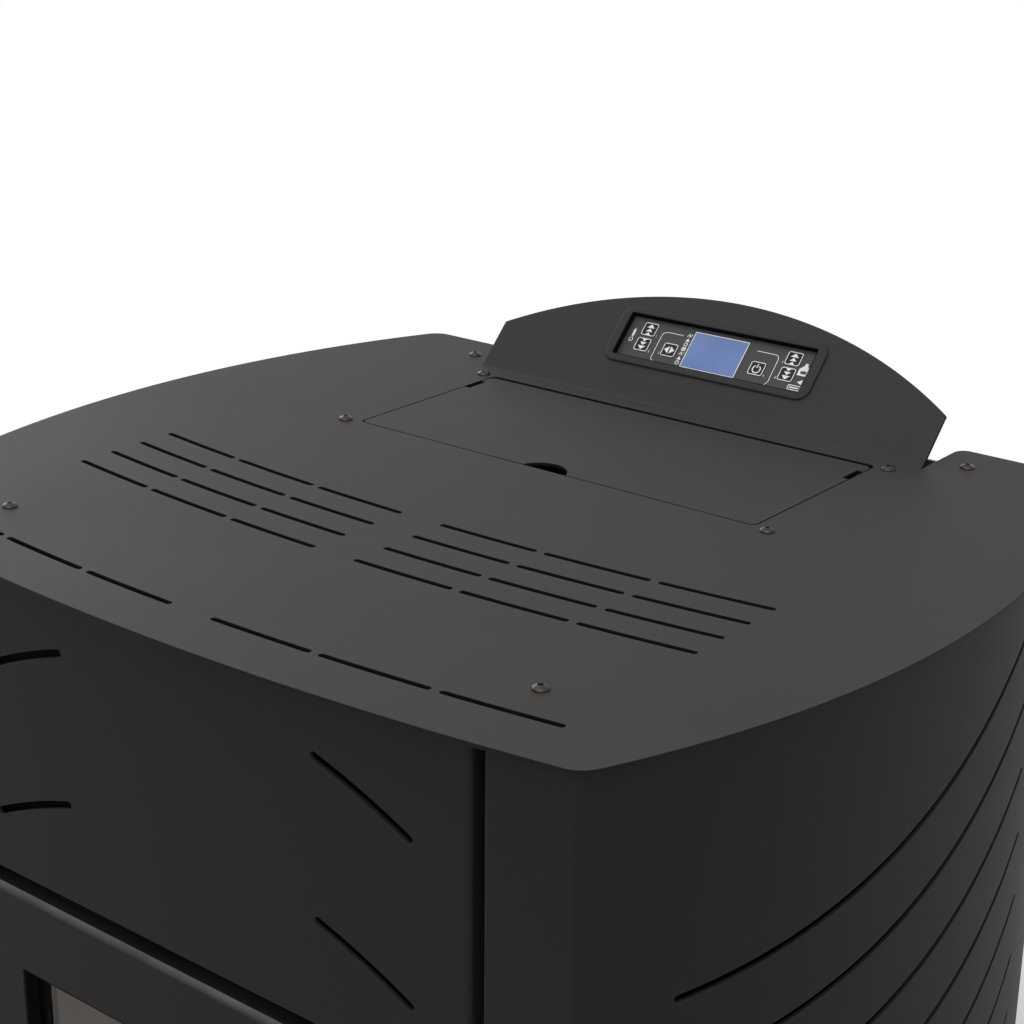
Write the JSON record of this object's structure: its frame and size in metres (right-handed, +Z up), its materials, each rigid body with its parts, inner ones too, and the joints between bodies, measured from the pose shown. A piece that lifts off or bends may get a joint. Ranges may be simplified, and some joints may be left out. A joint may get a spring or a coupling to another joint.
{
  "type": "pellet stove",
  "caption": "Free-standing pellet stove: curved steel casing, top plate bent up into a control console, hopper lid, glazed fire door, ash drawer, auger feed and blowers.",
  "frame": {"origin": "on the floor, under the middle of the stove's overall box", "axes": "+Z up, the fire door faces -Y, +X to the right of someone facing the back of the room through the stove"},
  "size_m": [0.56, 0.508, 1.0002],
  "materials": {
    "top_paint": "fine-texture powder coat, dark warm grey",
    "case_paint": "fine-texture powder coat, near black",
    "stove_paint": "matte high-temperature paint",
    "bare_steel": "plain",
    "galvanised": "galvanised sheet",
    "cast_iron": "as cast, sooted",
    "vermiculite": "pressed vermiculite board",
    "glass": "clear ceramic glass",
    "gasket": "glass-fibre rope",
    "black_plastic": "fine grain",
    "key_print": "printed foil, satin",
    "lcd": "backlit display behind a clear window",
    "board": "circuit board",
    "foot": "moulded pad with a steel stud"
  },
  "bodies": {
    "casing": {"top_plate": "top_paint", "lid_pin_left": "bare_steel", "lid_pin_right": "bare_steel", "display_bezel": "black_plastic", "keypad_panel": "key_print", "lcd_screen": "lcd", "display_board": "board", "display_housing": "black_plastic", "front_upper_panel": "case_paint", "front_lower_panel": "case_paint", "side_panel_right": "case_paint", "side_panel_left": "case_paint", "back_panel": "galvanised", "base_plate": "stove_paint", "foot_front_left": "foot", "foot_front_right": "foot", "foot_rear_left": "foot", "foot_rear_right": "foot", "firebox": "stove_paint", "heat_exchanger": "stove_paint", "baffle_plate": "cast_iron", "fireback": "vermiculite", "burn_pot": "cast_iron", "burn_pot_base": "stove_paint", "igniter": "bare_steel", "air_inlet_pipe": "galvanised", "door_pin_upper": "bare_steel", "door_pin_lower": "bare_steel", "latch_keeper": "bare_steel", "hopper": "galvanised", "hopper_grille": "bare_steel", "auger_tube": "stove_paint", "auger_gearmotor": "bare_steel", "pellet_chute": "stove_paint", "smoke_fan_housing": "galvanised", "smoke_fan_motor": "bare_steel", "flue_collar": "stove_paint", "room_fan_housing": "galvanised", "control_board": "board", "power_inlet": "black_plastic"},
    "lid": {"hopper_lid": "top_paint"},
    "door": {"door_frame": "case_paint", "door_glass": "glass", "glass_retainer": "stove_paint", "door_gasket": "gasket"},
    "handle": {"door_handle": "bare_steel", "door_latch_cam": "bare_steel"},
    "drawer": {"ash_drawer": "case_paint"},
    "auger": {"auger_screw": "bare_steel"},
    "smoke_rotor": {"smoke_fan_rotor": "bare_steel"},
    "room_rotor": {"room_fan_rotor": "bare_steel"},
    "rocker": {"power_switch": "black_plastic"},
    "key_left_up": {"key_left_up": "key_print"},
    "key_left_down": {"key_left_down": "key_print"},
    "key_menu": {"key_menu": "key_print"},
    "key_power": {"key_power": "key_print"},
    "key_right_up": {"key_right_up": "key_print"},
    "key_right_down": {"key_right_down": "key_print"}
  },
  "joints": [
    {"name": "lid_hinge", "type": "hinge", "parent": "casing", "child": "lid", "pos_m": [0, 0.136, 0.936], "axis": [-1, 0, 0], "range_deg": [0, 95]},
    {"name": "door_hinge", "type": "hinge", "parent": "casing", "child": "door", "pos_m": [-0.16, -0.224, 0.545], "axis": [0, 0, -1], "range_deg": [0, 110]},
    {"name": "handle_turn", "type": "hinge", "parent": "door", "child": "handle", "pos_m": [0.153, -0.2317, 0.545], "axis": [0, 1, 0], "range_deg": [0, 70]},
    {"name": "drawer_slide", "type": "slide", "parent": "casing", "child": "drawer", "axis": [0, -1, 0], "range_m": [0, 0.21]},
    {"name": "auger_spin", "type": "hinge", "parent": "casing", "child": "auger", "pos_m": [0, 0.12, 0.5], "axis": [0, -0.7071, 0.7071], "continuous": true},
    {"name": "smoke_rotor_spin", "type": "hinge", "parent": "casing", "child": "smoke_rotor", "pos_m": [-0.15, 0.071, 0.29], "axis": [1, 0, 0], "continuous": true},
    {"name": "room_rotor_spin", "type": "hinge", "parent": "casing", "child": "room_rotor", "pos_m": [0.03, 0.091, 0.0923], "axis": [1, 0, 0], "continuous": true},
    {"name": "switch_rock", "type": "hinge", "parent": "casing", "child": "rocker", "pos_m": [0.165, 0.207, 0.124], "axis": [1, 0, 0], "range_deg": [0, 16]},
    {"name": "key_left_up_press", "type": "slide", "parent": "casing", "child": "key_left_up", "axis": [0, 0.7133, -0.7009], "range_m": [0, 0.0005], "stiffness_N_per_m": 1500},
    {"name": "key_left_down_press", "type": "slide", "parent": "casing", "child": "key_left_down", "axis": [0, 0.7133, -0.7009], "range_m": [0, 0.0005], "stiffness_N_per_m": 1500},
    {"name": "key_menu_press", "type": "slide", "parent": "casing", "child": "key_menu", "axis": [0, 0.7133, -0.7009], "range_m": [0, 0.0005], "stiffness_N_per_m": 1500},
    {"name": "key_power_press", "type": "slide", "parent": "casing", "child": "key_power", "axis": [0, 0.7133, -0.7009], "range_m": [0, 0.0005], "stiffness_N_per_m": 1500},
    {"name": "key_right_up_press", "type": "slide", "parent": "casing", "child": "key_right_up", "axis": [0, 0.7133, -0.7009], "range_m": [0, 0.0005], "stiffness_N_per_m": 1500},
    {"name": "key_right_down_press", "type": "slide", "parent": "casing", "child": "key_right_down", "axis": [0, 0.7133, -0.7009], "range_m": [0, 0.0005], "stiffness_N_per_m": 1500}
  ]
}
